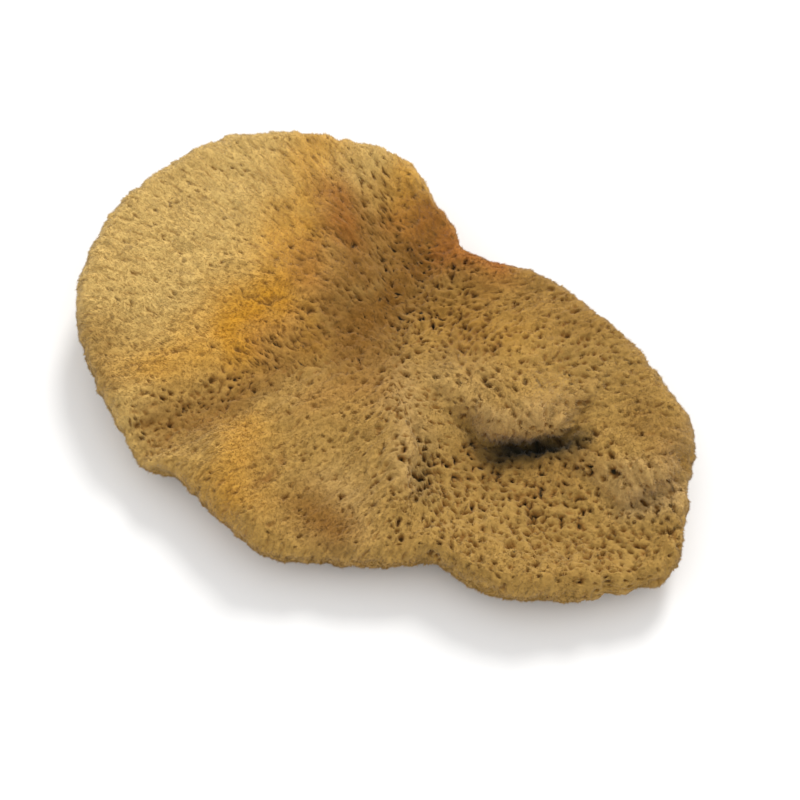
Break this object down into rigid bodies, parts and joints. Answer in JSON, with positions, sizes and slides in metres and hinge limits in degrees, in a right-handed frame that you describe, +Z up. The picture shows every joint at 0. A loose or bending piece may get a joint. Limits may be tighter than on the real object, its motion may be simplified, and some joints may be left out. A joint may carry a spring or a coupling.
{
  "type": "sea sponge",
  "caption": "Dried elephant-ear sea sponge: a thick velvety sheet that fans out from a notch in its back edge into a round lobe and a folded lobe, lying on its belly.",
  "frame": {"origin": "on the resting face, under the middle of the sponge's outline", "axes": "+X along the longest extent, from the round lobe to the folded lobe; +Y towards the notch where it grew from; +Z up, through the sheet's thickness"},
  "size_m": [0.1674, 0.1092, 0.0196],
  "materials": {
    "sponge": "matte, velvety horny fibre, straw to rust brown, porous"
  },
  "bodies": {
    "root": {"sponge": "sponge"}
  },
  "joints": []
}
